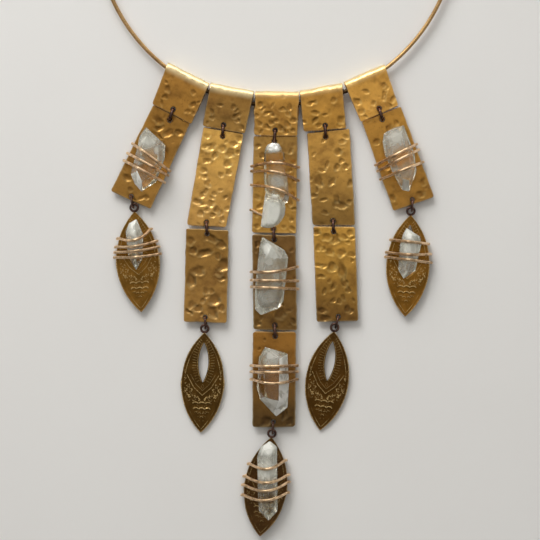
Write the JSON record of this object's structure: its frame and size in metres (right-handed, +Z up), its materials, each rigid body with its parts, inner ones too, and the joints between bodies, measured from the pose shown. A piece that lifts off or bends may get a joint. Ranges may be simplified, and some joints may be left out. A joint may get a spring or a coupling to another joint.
{
  "type": "bib necklace",
  "caption": "Bib necklace of folded brass sleeves on a rigid neck wire, with hammered plates, wire-wrapped quartz points and embossed marquise drops on jump rings, lying flat.",
  "frame": {"origin": "middle of the necklace's outline in the surface it lies on", "axes": "+Y from the bib towards the back of the neck, +X to the right seen from above, +Z up out of the surface"},
  "size_m": [0.1298, 0.2844, 0.012],
  "materials": {
    "collar_brass": "drawn wire, lightly worn",
    "hammered_brass": "hammered, satin, with brown patina",
    "antique_brass": "embossed, dark patina with bright worn edges",
    "dark_copper": "blackened copper wire",
    "rose_wire": "bright rose-gold wire",
    "quartz": "rough natural quartz, clear to milky"
  },
  "bodies": {
    "root": {"collar_wire": "collar_brass", "collar_clasp": "collar_brass", "bail_1": "hammered_brass", "bail_2": "hammered_brass", "bail_3": "hammered_brass", "bail_4": "hammered_brass", "bail_5": "hammered_brass", "plate_1": "hammered_brass", "plate_2_upper": "hammered_brass", "plate_2_lower": "hammered_brass", "plate_3_upper": "hammered_brass", "plate_3_middle": "hammered_brass", "plate_3_lower": "hammered_brass", "plate_4_upper": "hammered_brass", "plate_4_lower": "hammered_brass", "plate_5": "hammered_brass", "drop_1": "antique_brass", "drop_2": "antique_brass", "drop_3": "antique_brass", "drop_4": "antique_brass", "drop_5": "antique_brass", "ring_bail_1": "dark_copper", "ring_bail_2": "dark_copper", "ring_bail_3": "dark_copper", "ring_bail_4": "dark_copper", "ring_bail_5": "dark_copper", "ring_plate_2": "dark_copper", "ring_plate_3_upper": "dark_copper", "ring_plate_3_lower": "dark_copper", "ring_plate_4": "dark_copper", "ring_drop_1": "dark_copper", "ring_drop_2": "dark_copper", "ring_drop_3": "dark_copper", "ring_drop_4": "dark_copper", "ring_drop_5": "dark_copper", "crystal_plate_1": "quartz", "crystal_plate_3_upper": "quartz", "crystal_plate_3_middle": "quartz", "crystal_plate_3_lower": "quartz", "crystal_plate_5": "quartz", "crystal_drop_1": "quartz", "crystal_drop_3": "quartz", "crystal_drop_5": "quartz", "wrap_plate_1": "rose_wire", "wrap_plate_3_upper": "rose_wire", "wrap_plate_3_middle": "rose_wire", "wrap_plate_3_lower": "rose_wire", "wrap_plate_5": "rose_wire", "wrap_drop_1": "rose_wire", "wrap_drop_3": "rose_wire", "wrap_drop_5": "rose_wire"}
  },
  "joints": []
}
